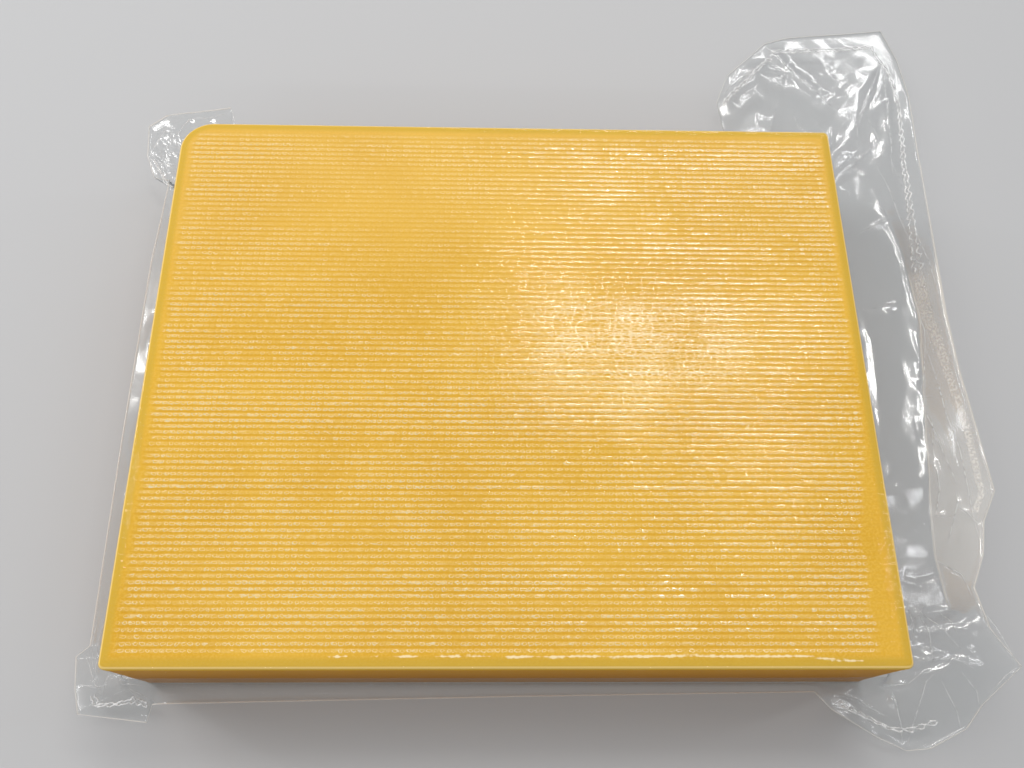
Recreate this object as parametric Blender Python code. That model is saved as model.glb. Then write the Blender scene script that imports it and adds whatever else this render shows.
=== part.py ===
"""A block of raclette cheese, vacuum packed in a clear film pouch, lying flat with the net-marked face up.

Metres, +Z up. The origin is the centre of the block's underside. +X runs along the imprinted rows,
towards the mouth of the pouch, and +Y runs to the back.
"""

import bpy
import numpy as np

MM = 0.001

# Block of cheese
BLOCK_WIDTH = 0.361
BLOCK_DEPTH = 0.292
BLOCK_HEIGHT = 0.065
SHARP_CORNER_RADIUS = 0.003
SOFT_CORNER_RADIUS = 0.017
TOP_EDGE_RADIUS = 0.0018
FOOT_RADIUS = 0.0015
ROUNDING_ANGLES = np.radians([0.0, 30.0, 60.0, 90.0])

# Rows that a moulding net left in the top face
ROW_PITCH = 0.003
ROW_DEPTH = 0.0006
FAINTEST_ROW = 0.55
ROW_RUN_OUT = 0.003
FRONT_MARGIN = 0.0064
BACK_MARGIN = 0.0066
LEFT_MARGIN = 0.0050
RIGHT_MARGIN = 0.0040
WIDER_MARGIN = 0.009
WIDENING_START = -0.035
WIDENING_RUN = 0.055
RAGGED_END = 0.003
INNER_COLUMNS = 4
ROW_SEED = 11

# Film pouch
FILM_GAP = 0.0003
SEAM_THICKNESS = 0.0012
FLOOR_CLEARANCE = 0.0004
CLING_TOP = 0.0629
CLING_FOOT = 0.004
CLING_THICKNESS = 0.0007
TENT_TOP = 0.036
TENT_REACH = 0.0055
NARROW_TENT_SHARE = 0.28
TENT_COLUMNS = np.array([[0.0], [0.05], [0.14], [0.3]])
FIN_STEP = 0.016
EAR_STEP = 0.009
PLEAT_RISE = 0.005
PLEAT_SEED = 5

# Film edge round each corner of the block, in millimetres from that corner: how far along the block's
# sides the film leaves them, counted anticlockwise, then its edge's x and y, and its height above ground.
FRONT_LEFT_EAR = (
    (-16, -23, 16, 18),
    (-12, -30, 11, 16),
    (-6, -30, -4, 10),
    (-1, -29, -15, 5),
    (4, 5, -19, 5),
    (8, 8, -11, 9),
)
FRONT_RIGHT_EAR = (
    (-30, -30, -6, 14),
    (-21, -21, -14, 10),
    (-9, 2, -27, 6),
    (-5, 15, -33, 6),
    (-2, 27, -32, 6),
    (1, 46, -23, 8),
    (4, 55, -12, 10),
    (10, 76, 6, 14),
    (22, 62, 24, 18),
    (40, 59, 45, 16),
    (58, 67, 62, 16),
)
BACK_RIGHT_EAR = (
    (-24, 74, 15, 20),
    (-10, 79, 67, 14),
    (-4, 78, 101, 10),
    (1, 72, 127, 8),
    (9, 7, 120, 8),
    (14, -9, 113, 10),
    (24, -38, 82, 14),
    (34, -46, 62, 12),
    (38, -42, 22, 14),
)
BACK_LEFT_EAR = (
    (-28, 20, 22, 14),
    (-20, 12, 39, 14),
    (-15, 8, 51, 14),
    (-2, -29, 41, 18),
    (5, -38, 31, 20),
    (14, -36, 10, 20),
    (19, -31, -4, 17),
    (24, -22, -5, 16),
)

# Film edge beside each straight side, in millimetres: along the side from its first corner, width, height
LEFT_FIN = ((60, 25, 16), (170, 25, 16))
FRONT_FIN = ((12, 11, 14), (180, 8, 14))
MOUTH = ((80, 72, 14), (96, 80, 16), (130, 75, 20), (165, 71, 22), (200, 69, 24), (232, 70, 24))
BACK_FIN = ((70, 22, 14), (200, 22, 14))

# Fold in the mouth flange, in millimetres: along the right side, distance from the block, height
MOUTH_FOLD = ((34, 48, 6), (61, 46, 5), (85, 48, 5), (155, 56, 4), (205, 62, 4), (240, 60, 4), (275, 53, 4))
PLAIN_FOLD_SHARE = 0.5
PLAIN_FOLD_HEIGHT = 0.012

CHEESE_COLOUR = (0.79, 0.50, 0.13, 1.0)
FILM_COLOUR = (0.85, 0.87, 0.88, 1.0)

half_width = BLOCK_WIDTH / 2
half_depth = BLOCK_DEPTH / 2
rim_steps = TOP_EDGE_RADIUS * (1 - np.cos(ROUNDING_ANGLES))


def material(name, colour, roughness, alpha=1.0):
    """A Principled material with one colour."""
    made = bpy.data.materials.new(name)
    made.use_nodes = True
    shader = made.node_tree.nodes["Principled BSDF"]
    shader.inputs["Base Color"].default_value = colour
    shader.inputs["Roughness"].default_value = roughness
    shader.inputs["Metallic"].default_value = 0.0
    shader.inputs["Alpha"].default_value = alpha
    return made


def solid(name, points, faces, finish):
    """An object from points and faces, in the scene."""
    mesh = bpy.data.meshes.new(name)
    mesh.from_pydata(points.tolist(), [], faces)
    mesh.validate()
    mesh.materials.append(finish)
    made = bpy.data.objects.new(name, mesh)
    bpy.context.scene.collection.objects.link(made)
    return made


def corner_radius(x, y):
    """The block's corner radius in the quarter where a point lies: the back left corner has slumped."""
    return np.where((x < 0) & (y > 0), SOFT_CORNER_RADIUS, SHARP_CORNER_RADIUS)


def side_x(y, sign):
    """x of the block's left (sign -1) or right (+1) side at y: straight, with an arc at each end."""
    radius = corner_radius(np.full_like(y, sign), y)
    into_arc = np.clip(np.abs(y) - (half_depth - radius), 0, radius)
    return sign * (half_width - radius + np.sqrt(radius**2 - into_arc**2))


def inside(x, y):
    """How far a point lies inside the block's rounded outline."""
    radius = corner_radius(x, y)
    past_x = np.abs(x) - (half_width - radius)
    past_y = np.abs(y) - (half_depth - radius)
    outside_arc = np.hypot(np.maximum(past_x, 0), np.maximum(past_y, 0))
    return radius - outside_arc - np.minimum(np.maximum(past_x, past_y), 0)


def edge_drop(depth_inside):
    """How far the rounded top edge falls below the top face: a quarter circle."""
    from_crown = np.clip(TOP_EDGE_RADIUS - depth_inside, 0, TOP_EDGE_RADIUS)
    return TOP_EDGE_RADIUS - np.sqrt(TOP_EDGE_RADIUS**2 - from_crown**2)


def top_lines(draw):
    """y of each line across the top, and how deep the imprint is there: 0 on a row, up to 1 in a groove."""
    rows = int((BLOCK_DEPTH - FRONT_MARGIN - BACK_MARGIN) / ROW_PITCH)
    marks = -half_depth + FRONT_MARGIN + ROW_PITCH / 2 * np.arange(2 * rows + 1)
    y = np.concatenate([rim_steps - half_depth, marks, half_depth - rim_steps[::-1]])
    groove = np.zeros(len(y))
    in_grooves = slice(len(rim_steps) + 1, len(rim_steps) + len(marks) - 1, 2)
    groove[in_grooves] = FAINTEST_ROW + (1 - FAINTEST_ROW) * draw.random(rows)
    return y, groove


def block_top():
    """The top face as a grid of points: a line for each row and each groove, with its own ragged ends.

    Towards the front the rows stop further from the right side.
    """
    draw = np.random.default_rng(ROW_SEED)
    y, groove = top_lines(draw)
    left = side_x(y, -1.0)[:, None]
    right = side_x(y, 1.0)[:, None]
    row_start = left + LEFT_MARGIN + RAGGED_END * draw.random(left.shape)
    wider = WIDER_MARGIN * np.clip((WIDENING_START - y) / WIDENING_RUN, 0, 1)[:, None]
    row_end = right - RIGHT_MARGIN - wider - RAGGED_END * draw.random(right.shape)
    from_left = np.hstack([left + rim_steps, row_start, row_start + ROW_RUN_OUT])
    to_right = np.hstack([row_end - ROW_RUN_OUT, row_end, right - rim_steps[::-1]])
    share = np.arange(1, INNER_COLUMNS + 1) / (INNER_COLUMNS + 1)
    between = from_left[:, -1:] + (to_right[:, :1] - from_left[:, -1:]) * share
    x = np.hstack([from_left, between, to_right])
    full_depth = np.zeros(x.shape[1])
    full_depth[len(rim_steps) + 1 : -len(rim_steps) - 1] = 1.0
    z = BLOCK_HEIGHT - edge_drop(inside(x, y[:, None])) - ROW_DEPTH * groove[:, None] * full_depth
    return np.stack([x, np.broadcast_to(y[:, None], x.shape), z], axis=-1)


def shrunk(ring, inset, height):
    """A ring of outline points pulled in towards the middle of the block, at a height."""
    inner = ring.copy()
    inner[:, 0] *= (half_width - inset) / half_width
    inner[:, 1] *= (half_depth - inset) / half_depth
    inner[:, 2] = height
    return inner


def cheese_block(finish):
    """The block: its marked top, plain sides, a small rounding at the foot, and a flat underside."""
    grid = block_top()
    lines, columns = grid.shape[:2]
    place = np.arange(lines * columns).reshape(lines, columns)
    faces = [
        (place[j, i], place[j, i + 1], place[j + 1, i + 1], place[j + 1, i])
        for j in range(lines - 1)
        for i in range(columns - 1)
    ]
    round_rim = np.concatenate([place[0, :-1], place[:-1, -1], place[-1, :0:-1], place[:0:-1, 0]])
    rim = grid.reshape(-1, 3)[round_rim]
    foot = shrunk(rim, 0.0, FOOT_RADIUS)
    sole = shrunk(rim, FOOT_RADIUS, 0.0)
    points = np.concatenate([grid.reshape(-1, 3), foot, sole])
    count = len(round_rim)
    rings = [round_rim, lines * columns + np.arange(count), lines * columns + count + np.arange(count)]
    for upper, lower in zip(rings, rings[1:]):
        faces += [
            (upper[k], lower[k], lower[(k + 1) % count], upper[(k + 1) % count])
            for k in range(count)
        ]
    front = rings[2][:columns]
    right = rings[2][columns - 1 : columns + lines - 1]
    back = rings[2][columns + lines - 2 : 2 * columns + lines - 2][::-1]
    left = np.append(rings[2][2 * columns + lines - 3 :], rings[2][0])[::-1]
    faces += [(left[1], front[i + 1], front[i]) for i in range(columns - 1)]
    faces.append((left[1], right[1], front[-1]))
    faces += [(left[j], left[j + 1], right[j + 1], right[j]) for j in range(1, lines - 2)]
    faces += [(left[-2], back[i], back[i + 1]) for i in range(columns - 1)]
    faces.append((left[-2], back[-1], right[-2]))
    return solid("cheese_block", points, [tuple(int(p) for p in face) for face in faces], finish)


def beside_block(along):
    """The point just off the block's outline at each distance along its sides, from the front left corner.

    Straight beside a side. Within a corner's radius of a corner, on an arc round it.
    """
    corners = np.array([[-1, -1], [1, -1], [1, 1], [-1, 1]]) * [half_width, half_depth]
    starts = np.array([0, BLOCK_WIDTH, BLOCK_WIDTH + BLOCK_DEPTH, 2 * BLOCK_WIDTH + BLOCK_DEPTH])
    whole = 2 * (BLOCK_WIDTH + BLOCK_DEPTH)
    along = np.asarray(along) % whole
    side = np.searchsorted(starts, along, side="right") - 1
    share = (along - starts[side]) / np.array([BLOCK_WIDTH, BLOCK_DEPTH, BLOCK_WIDTH, BLOCK_DEPTH])[side]
    offset = np.array([[0, -1], [1, 0], [0, 1], [-1, 0]]) * FILM_GAP
    points = corners[side] + (corners[(side + 1) % 4] - corners[side]) * share[:, None] + offset[side]
    for k, corner in enumerate(corners):
        radius = float(corner_radius(corner[0], corner[1]))
        past = (along - starts[k] + whole / 2) % whole - whole / 2
        near = np.abs(past) < radius
        turn = np.arctan2(corner[1], corner[0] * half_depth / half_width) + np.pi / 4 * past[near] / radius
        centre = corner - np.sign(corner) * radius
        points[near] = centre + (radius + FILM_GAP) * np.stack([np.cos(turn), np.sin(turn)], axis=-1)
    return points


def pouch_keys():
    """Key points of the film's edge: along the block's sides, x, y, height, and 1 on an ear, else 0."""
    keys = []
    corners = (
        (FRONT_LEFT_EAR, 0.0, -1, -1),
        (FRONT_RIGHT_EAR, BLOCK_WIDTH, 1, -1),
        (BACK_RIGHT_EAR, BLOCK_WIDTH + BLOCK_DEPTH, 1, 1),
        (BACK_LEFT_EAR, 2 * BLOCK_WIDTH + BLOCK_DEPTH, -1, 1),
    )
    for ear, start, right, back in corners:
        for along, x, y, height in ear:
            corner = (right * half_width, back * half_depth)
            keys.append((start + along * MM, corner[0] + x * MM, corner[1] + y * MM, height * MM, 1))
    fins = (
        (FRONT_FIN, 0.0, (-half_width, -half_depth), (1, 0), (0, -1)),
        (MOUTH, BLOCK_WIDTH, (half_width, -half_depth), (0, 1), (1, 0)),
        (BACK_FIN, BLOCK_WIDTH + BLOCK_DEPTH, (half_width, half_depth), (-1, 0), (0, 1)),
        (LEFT_FIN, 2 * BLOCK_WIDTH + BLOCK_DEPTH, (-half_width, half_depth), (0, -1), (-1, 0)),
    )
    for fin, start, corner, run, out in fins:
        for along, width, height in fin:
            x = corner[0] + (run[0] * along + out[0] * width) * MM
            y = corner[1] + (run[1] * along + out[1] * width) * MM
            keys.append((start + along * MM, x, y, height * MM, 0))
    return np.array(sorted(keys))


def pouch_stations():
    """Key points with even steps between them, short on the ears and longer beside the straight sides."""
    keys = pouch_keys()
    following = np.roll(keys, -1, axis=0)
    following[-1, 0] += 2 * (BLOCK_WIDTH + BLOCK_DEPTH)
    stations = []
    for key, after in zip(keys, following):
        ear = key[4] and after[4]
        reach = max(after[0] - key[0], np.hypot(*(after[1:3] - key[1:3])))
        steps = int(np.ceil(reach / (EAR_STEP if ear else FIN_STEP)))
        share = np.arange(steps)[:, None] / steps
        stretch = key + (after - key) * share
        stretch[:, 4] = float(ear)
        stations.append(stretch)
    return np.concatenate(stations)


def mouth_fold(along, width, edge_height):
    """Where the fold in the film lies, as a share of its width, and its height. Only the flange has one."""
    fold_along, fold_out, fold_height = (np.array(MOUTH_FOLD) * MM).T
    past_corner = along - BLOCK_WIDTH
    on_mouth = (past_corner > fold_along[0]) & (past_corner < fold_along[-1])
    mouth_share = np.interp(past_corner, fold_along, fold_out) / width
    mouth_height = np.interp(past_corner, fold_along, fold_height)
    share = np.where(on_mouth, mouth_share, PLAIN_FOLD_SHARE)
    return share, np.where(on_mouth, mouth_height, np.minimum(PLAIN_FOLD_HEIGHT, edge_height))


def vacuum_pouch(finish):
    """The film round the block as one closed skirt.

    It clings to the sides of the block. Lower down, an upper and a lower sheet leave the block, close on
    each other like a tent, and run on together to the film's edge, over the fold in the mouth flange and
    over small pleats in the four ears.
    """
    along, edge_x, edge_y, edge_height, on_ear = pouch_stations().T
    start = beside_block(along)
    edge = np.stack([edge_x, edge_y], axis=-1)
    width = np.hypot(*(edge - start).T)
    fold_share, fold_height = mouth_fold(along, width, edge_height)

    cling_share = CLING_THICKNESS / width
    tent_share = cling_share + (1 - cling_share) * TENT_COLUMNS
    share = np.vstack([0 * width, tent_share, fold_share, (1 + fold_share) / 2, np.ones_like(width)])
    past_fold = np.clip((share - fold_share) / (1 - fold_share), 0, 1)
    middle = fold_height + (edge_height - fold_height) * past_fold
    draw = np.random.default_rng(PLEAT_SEED)
    pleat = on_ear * PLEAT_RISE * (draw.random(len(along)) - 0.3)
    middle = middle + pleat * np.sin(np.pi * share)
    middle = np.maximum(middle, SEAM_THICKNESS / 2 + FLOOR_CLEARANCE)

    reach = np.minimum(TENT_REACH, NARROW_TENT_SHARE * width)
    off_block = np.maximum(share * width - CLING_THICKNESS, 0)
    tent = np.exp(-off_block / reach) * (1 - share)
    upper = middle + SEAM_THICKNESS / 2
    upper = upper + (TENT_TOP - upper) * tent
    upper[0] = CLING_TOP
    lower = middle - SEAM_THICKNESS / 2
    lower = np.maximum(lower + (CLING_FOOT - lower) * tent, FLOOR_CLEARANCE)

    plan = start + (edge - start) * share[:, :, None]
    top = np.concatenate([plan, upper[:, :, None]], axis=-1)
    under = np.concatenate([plan, lower[:, :, None]], axis=-1)[::-1]
    section = np.concatenate([top, under])
    rings, count = section.shape[:2]
    faces = [
        (
            k * count + i,
            ((k + 1) % rings) * count + i,
            ((k + 1) % rings) * count + (i + 1) % count,
            k * count + (i + 1) % count,
        )
        for k in range(rings)
        for i in range(count)
    ]
    return solid("vacuum_pouch", section.reshape(-1, 3), faces, finish)


for old in list(bpy.data.objects):
    bpy.data.objects.remove(old, do_unlink=True)

cheese_block(material("cheese", CHEESE_COLOUR, 0.35))
vacuum_pouch(material("clear_film", FILM_COLOUR, 0.08, 0.25))
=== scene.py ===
"""A block of raclette cheese in its clear vacuum pouch: the looks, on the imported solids.

Metres, +Z up. The origin is the centre of the block's underside. +X runs along the imprinted rows,
towards the mouth of the pouch, and +Y runs to the back.
"""

import bpy
import numpy as np
from mathutils import Matrix, Vector


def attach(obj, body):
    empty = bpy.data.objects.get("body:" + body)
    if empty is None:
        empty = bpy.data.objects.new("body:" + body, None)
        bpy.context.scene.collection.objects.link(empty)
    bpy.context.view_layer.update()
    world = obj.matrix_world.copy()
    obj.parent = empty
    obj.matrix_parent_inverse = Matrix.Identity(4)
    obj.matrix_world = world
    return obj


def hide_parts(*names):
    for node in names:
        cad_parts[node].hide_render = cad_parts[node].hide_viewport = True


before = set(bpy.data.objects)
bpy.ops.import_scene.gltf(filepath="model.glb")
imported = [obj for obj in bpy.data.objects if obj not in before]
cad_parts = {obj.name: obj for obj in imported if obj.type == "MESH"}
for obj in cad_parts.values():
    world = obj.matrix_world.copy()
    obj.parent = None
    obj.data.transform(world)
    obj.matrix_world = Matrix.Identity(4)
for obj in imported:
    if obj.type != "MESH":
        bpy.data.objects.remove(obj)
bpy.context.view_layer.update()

MM = 0.001


# Camera
# It stands half a metre above the front of the block and looks down at it, turned a little to the right.
CAMERA_PLACE = (-0.01135, -0.18857, 0.49256)
CAMERA_RIGHT = (0.99961, -0.00391, 0.02749)
CAMERA_UP = (-0.00697, 0.92305, 0.38462)

camera = bpy.data.objects.new("camera", bpy.data.cameras.new("camera"))
camera.data.lens = 32.908
right, up = Vector(CAMERA_RIGHT).normalized(), Vector(CAMERA_UP).normalized()
turned = Matrix((right, up, right.cross(up))).transposed().to_4x4()
camera.matrix_world = Matrix.Translation(CAMERA_PLACE) @ turned
bpy.context.scene.collection.objects.link(camera)
bpy.context.scene.camera = camera


# Floor and light
# A plain pale floor. A slim lamp above the back right makes the long gloss on the block, wide soft
# panels fill in from the left and the back, and a narrow strip on each side picks out the film's folds.
FLOOR_COLOUR = (0.47, 0.47, 0.475, 1.0)
ROOM_LIGHT = (0.94, 0.97, 1.0, 1.0)

bpy.context.scene.view_settings.view_transform = "Standard"
room = bpy.data.worlds.new("room")
room.use_nodes = True
room.node_tree.nodes["Background"].inputs["Color"].default_value = ROOM_LIGHT
room.node_tree.nodes["Background"].inputs["Strength"].default_value = 0.45
bpy.context.scene.world = room


def panel(name, place, target, size, watts, colour, mirrored=True):
    """A flat rectangular lamp that faces a target, and may be left out of mirror images."""
    lamp = bpy.data.lights.new(name, "AREA")
    lamp.shape = "RECTANGLE"
    lamp.size, lamp.size_y = size
    lamp.energy = watts
    lamp.color = colour
    made = bpy.data.objects.new(name, lamp)
    facing = (Vector(target) - Vector(place)).to_track_quat("-Z", "Y").to_matrix().to_4x4()
    made.matrix_world = Matrix.Translation(place) @ facing
    made.visible_glossy = mirrored
    bpy.context.scene.collection.objects.link(made)


panel("slim_lamp", (0.30, 0.54, 1.20), (0.04, 0.02, 0.06), (0.62, 0.05), 3.5, (1.0, 0.98, 0.95))
panel("front_fill", (-0.80, -0.90, 1.45), (0.0, 0.0, 0.0), (1.2, 1.2), 6.0, (1.0, 0.98, 0.96), False)
panel("side_fill", (-1.15, 0.55, 0.95), (0.0, 0.0, 0.0), (0.8, 0.8), 8.5, (1.0, 0.98, 0.96), False)
panel("back_fill", (0.05, 1.60, 1.25), (0.0, 0.0, 0.0), (0.9, 0.35), 5.0, (1.0, 0.98, 0.96), False)
panel("left_strip", (-1.05, 0.35, 0.85), (-0.1, 0.0, 0.0), (0.05, 0.9), 1.6, (0.96, 0.98, 1.0))
panel("right_strip", (1.10, 0.20, 0.95), (0.2, 0.0, 0.0), (0.04, 0.9), 1.5, (0.98, 0.98, 1.0))
panel("back_strip", (0.45, 1.40, 1.05), (0.1, 0.1, 0.0), (1.2, 0.04), 3.4, (1.0, 0.99, 0.98))
panel("front_strip", (0.05, -1.25, 1.15), (0.0, -0.15, 0.05), (1.6, 0.03), 1.8, (1.0, 0.99, 0.98))

floor_mesh = bpy.data.meshes.new("floor")
floor_corners = [(-9, -9, -0.0002), (9, -9, -0.0002), (9, 9, -0.0002), (-9, 9, -0.0002)]
floor_mesh.from_pydata(floor_corners, [], [(0, 1, 2, 3)])
floor = bpy.data.objects.new("floor", floor_mesh)
bpy.context.scene.collection.objects.link(floor)
floor_look = bpy.data.materials.new("floor")
floor_look.use_nodes = True
floor_look.node_tree.nodes["Principled BSDF"].inputs["Base Color"].default_value = FLOOR_COLOUR
floor_look.node_tree.nodes["Principled BSDF"].inputs["Roughness"].default_value = 0.7
floor_mesh.materials.append(floor_look)


# Cheese
# A pressed block of semi-hard cheese: firm, even paste with a moist golden skin. A moulding net has left
# rows of small beads in its top and bottom, inside plain margins. The back left corner has slumped.
BLOCK_WIDTH = 0.361
BLOCK_DEPTH = 0.292
CHEESE_TOP = 0.06464
CHEESE_UNDER = 0.00012
SHARP_CORNER_RADIUS = 0.003
SOFT_CORNER_RADIUS = 0.017
TOP_EDGE_RADIUS = 0.0018
EDGE_FALL = 0.0004
FOOT_RADIUS = 0.0015
ROW_PITCH = 0.003
FIRST_GROOVE = -0.1396
ROW_DEPTH = 0.00045
BEAD_DEPTH = 0.00022
MARGINS = (0.0050, 0.0040, 0.0064, 0.0066)
WIDER_MARGIN = 0.009
RAGGED_END = 0.003
LIP_PLACE = FIRST_GROOVE - ROW_PITCH / 3
LIP_HEIGHT = 0.00018
LIP_END = 0.172
WORN_PLACE = (-0.06, 0.095)
WORN_REACH = (0.11, 0.06)
ROW_SEED = 11
DIP_DEPTH = 0.00012
DENT_DEPTH = 0.00022
DEEPEST_UNDER = 0.0009
RIM_ANGLES = np.radians([0, 14, 28, 43, 58, 74, 90])
RIM_GAPS = (0.0012, 0.0004)
DRAWN_REACH = 0.06
SIDE_LEVELS = (0.054, 0.044, 0.034, 0.024, 0.014, 0.006)

# Marks and painted glints on the rows: sizes in row pitches, the rows' paleness, and where the slim lamp's
# painted reflection lies as a net of fine lines (x squeezed)
GROOVE_WALL = (0.20, 0.40)
BEAD_HALF_LENGTH = 0.44
BEAD_HALF_WIDTH = 0.25
ROW_PALENESS = 0.08
LAMP_GLINT_SQUEEZE = 0.55
LAMP_GLINT_PLACE = (0.0330, 0.0143, 0.065)
LAMP_GLINT_REACH = 0.062

# Heights between which the side's brown of painted shade at the foot goes over to ochre and then to the
# orange band, and between which the top's colours begin and the underside's end
OCHRE_RISE = (0.015, 0.0615)
ORANGE_RISE = (0.0585, 0.0622)
TOP_RISE = (0.0622, 0.0638)
SOLE_END = (0.0011, 0.0017)

DARK_PASTE = (0.68, 0.37, 0.033, 1)
LIGHT_PASTE = (0.75, 0.43, 0.050, 1)
PALE_FLECK = (0.85, 0.55, 0.11, 1)
PAINTED_BACK_SHEEN = (0.78, 0.49, 0.13, 1)
OLIVE_MARGIN = (0.61, 0.385, 0.05, 1)
SHADED_AMBER_GROOVE = (0.62, 0.31, 0.022, 1)
CREAM_MARK_AND_GLINT = (0.98, 0.82, 0.46, 1)
LIP_HIGHLIGHT = (1.0, 0.86, 0.56, 1)
EDGE_HIGHLIGHT = (0.96, 0.70, 0.26, 1)
SHADED_BROWN_FOOT = (0.40, 0.165, 0.020, 1)
OCHRE_SIDE = (0.60, 0.28, 0.014, 1)
SIDE_STREAK = (0.50, 0.27, 0.05, 1)
ORANGE_BAND = (0.80, 0.46, 0.012, 1)

half_width = BLOCK_WIDTH / 2
half_depth = BLOCK_DEPTH / 2


def corner_radius(x, y):
    """The block's corner radius in the quarter where a point lies."""
    return np.where((x < 0) & (y > 0), SOFT_CORNER_RADIUS, SHARP_CORNER_RADIUS)


def side_x(y, sign, grown=0.0):
    """x of the left (sign -1) or right (+1) side at y: straight, with an arc at each end."""
    radius = corner_radius(np.full_like(y, sign), y) + grown
    into_arc = np.clip(np.abs(y) - (half_depth + grown - radius), 0, radius)
    return sign * (half_width + grown - radius + np.sqrt(radius**2 - into_arc**2))


def inside(x, y, grown=0.0):
    """How far a point lies inside the block's rounded outline, which may be grown outwards."""
    radius = corner_radius(x, y) + grown
    past_x = np.abs(x) - (half_width + grown - radius)
    past_y = np.abs(y) - (half_depth + grown - radius)
    outside_arc = np.hypot(np.maximum(past_x, 0), np.maximum(past_y, 0))
    return radius - outside_arc - np.minimum(np.maximum(past_x, past_y), 0)


def edge_drop(depth_inside, radius):
    """How far a rounded top edge falls below the top: a quarter circle."""
    from_crown = np.clip(radius - depth_inside, 0, radius)
    return radius - np.sqrt(radius**2 - from_crown**2)


def edge_fall(x, y):
    """How far the top has sunk at a point: nothing inside, and a little within 6 millimetres of a side."""
    return EDGE_FALL * (1 - ease(inside(x, y), 0.0005, 0.0060))


def slow_waves(x, y, seed, lengths, height):
    """A gently uneven surface: the sum of one sine wave for each wavelength, in drawn directions."""
    draw = np.random.default_rng(seed)
    total = np.zeros(np.broadcast(x, y).shape)
    for length in lengths:
        heading, phase = draw.uniform(0, 2 * np.pi, 2)
        total += np.sin(2 * np.pi / length * (x * np.cos(heading) + y * np.sin(heading)) + phase)
    return height * total / len(lengths)


def ease(value, low, high):
    """0 below low, 1 above high, with a smooth rise between."""
    share = np.clip((value - low) / (high - low), 0, 1)
    return share * share * (3 - 2 * share)


def imprint(x, y):
    """How strong the net's marks are at a point: 0 in the margins, fading in over a few millimetres.

    Each row has its own ragged ends and its own strength. The rows stop further from the right side towards
    the front, and one patch at the back left took the net less well.
    """
    row = np.floor((y - FIRST_GROOVE) / ROW_PITCH).astype(int) % 128
    draw = np.random.default_rng(ROW_SEED)
    ragged = RAGGED_END * draw.random((2, 128))
    strength = 0.6 + 0.5 * draw.random(128)
    left, right, front, back = MARGINS
    from_left = x + half_width - left - ragged[0][row]
    from_right = half_width - right - WIDER_MARGIN * ease(-y, 0.03, 0.09) - ragged[1][row] - x
    across = np.minimum(y + half_depth - front, half_depth - back - y)
    worn_x, worn_y = ((at - place) / reach for at, place, reach in zip((x, y), WORN_PLACE, WORN_REACH))
    worn = 0.65 * np.exp(-(worn_x**2) - worn_y**2)
    worn = worn + slow_waves(x, y, 3, (0.19, 0.13, 0.085, 0.06), 0.2)
    ends = ease(np.minimum(from_left, from_right), 0, 0.003) * ease(across, 0, 0.0012)
    return ends * ease(inside(x, y), 0.0042, 0.0062) * strength[row] * np.clip(1 - worn, 0.3, 1)


def lip(x, y):
    """A thin ragged ridge in front of the first row: 1 on its crest. It is whole on the right and broken on
    the left, and it bends towards the front right corner, where it runs out."""
    present = slow_waves(x, 0 * y, 77, (0.05, 0.021, 0.011, 0.005), 0.9) + 10 * x + 0.8
    present = np.clip(present, 0, 1) * np.clip((LIP_END - x) / 0.02, 0, 1)
    place = LIP_PLACE + slow_waves(x, 0 * y, 78, (0.12, 0.05, 0.017), 0.0005)
    place = place - 0.0025 * ease(x, 0.12, LIP_END)
    crest = np.clip(1 - np.abs(y - place) / (ROW_PITCH / 2), 0, 1)
    return crest * present * ease(inside(x, y), 0.0018, 0.0026)


def top_height(x, y):
    """Height of the cheese's top: crest level, less the grooves, the gaps between beads, slow dips and a
    gentle fall towards the sides, with the lip in front of the first row."""
    phase = ((y - FIRST_GROOVE) / ROW_PITCH) % 1
    groove = np.clip(1 - np.minimum(phase, 1 - phase) * 3, 0, 1)
    gap = 0.5 + 0.5 * np.cos(2 * np.pi * (x / ROW_PITCH))
    marks = ROW_DEPTH * groove + BEAD_DEPTH * gap * (1 - groove)
    dips = DIP_DEPTH + slow_waves(x, y, 8, (0.31, 0.2, 0.11), DIP_DEPTH)
    low = marks * imprint(x, y) + dips * ease(inside(x, y), 0.002, 0.012) + edge_fall(x, y)
    return CHEESE_TOP - low + LIP_HEIGHT * lip(x, y)


def lattice(step_x, step_y, grown, radius):
    """Points over the block's top, rows first: even lines inside, closer ones over the rounded edge.

    Lines of x and y keep to the net's own pitch. Near a rounded corner a line is drawn in to the middle.
    """
    rim = radius * (1 - np.cos(RIM_ANGLES))
    count = int((half_width - radius - RIM_GAPS[0]) / step_x)
    inner_x = step_x * np.arange(-count, count + 1)
    x = np.concatenate([rim - half_width - grown, inner_x, half_width + grown - rim[::-1]])
    reach_y = half_depth - radius - RIM_GAPS[1]
    lowest, highest = int((reach_y + FIRST_GROOVE) / step_y), int((reach_y - FIRST_GROOVE) / step_y)
    inner_y = FIRST_GROOVE + step_y * np.arange(-lowest, highest + 1)
    y = np.concatenate([rim - half_depth - grown, inner_y, half_depth + grown - rim[::-1]])[:, None]
    drawn_left = side_x(y, -1.0, grown) + half_width + grown
    drawn_right = side_x(y, 1.0, grown) - half_width - grown
    near_left = np.clip(1 - (x + half_width + grown) / DRAWN_REACH, 0, 1)
    near_right = np.clip(1 - (half_width + grown - x) / DRAWN_REACH, 0, 1)
    return x + drawn_left * near_left + drawn_right * near_right, y + 0 * x


def rim_of(grid):
    """The border of a grid of numbers, anticlockwise from its first corner."""
    return np.concatenate([grid[0, :-1], grid[:-1, -1], grid[-1, :0:-1], grid[:0:-1, 0]])


def numbered(grid, first=0):
    """Point numbers in the shape of a grid, counted from first."""
    return first + np.arange(grid.size).reshape(grid.shape)


def grid_faces(place):
    """The four-cornered faces of a grid of point numbers."""
    corners = (place[:-1, :-1], place[:-1, 1:], place[1:, 1:], place[1:, :-1])
    return np.stack(corners, axis=-1).reshape(-1, 4).tolist()


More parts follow.
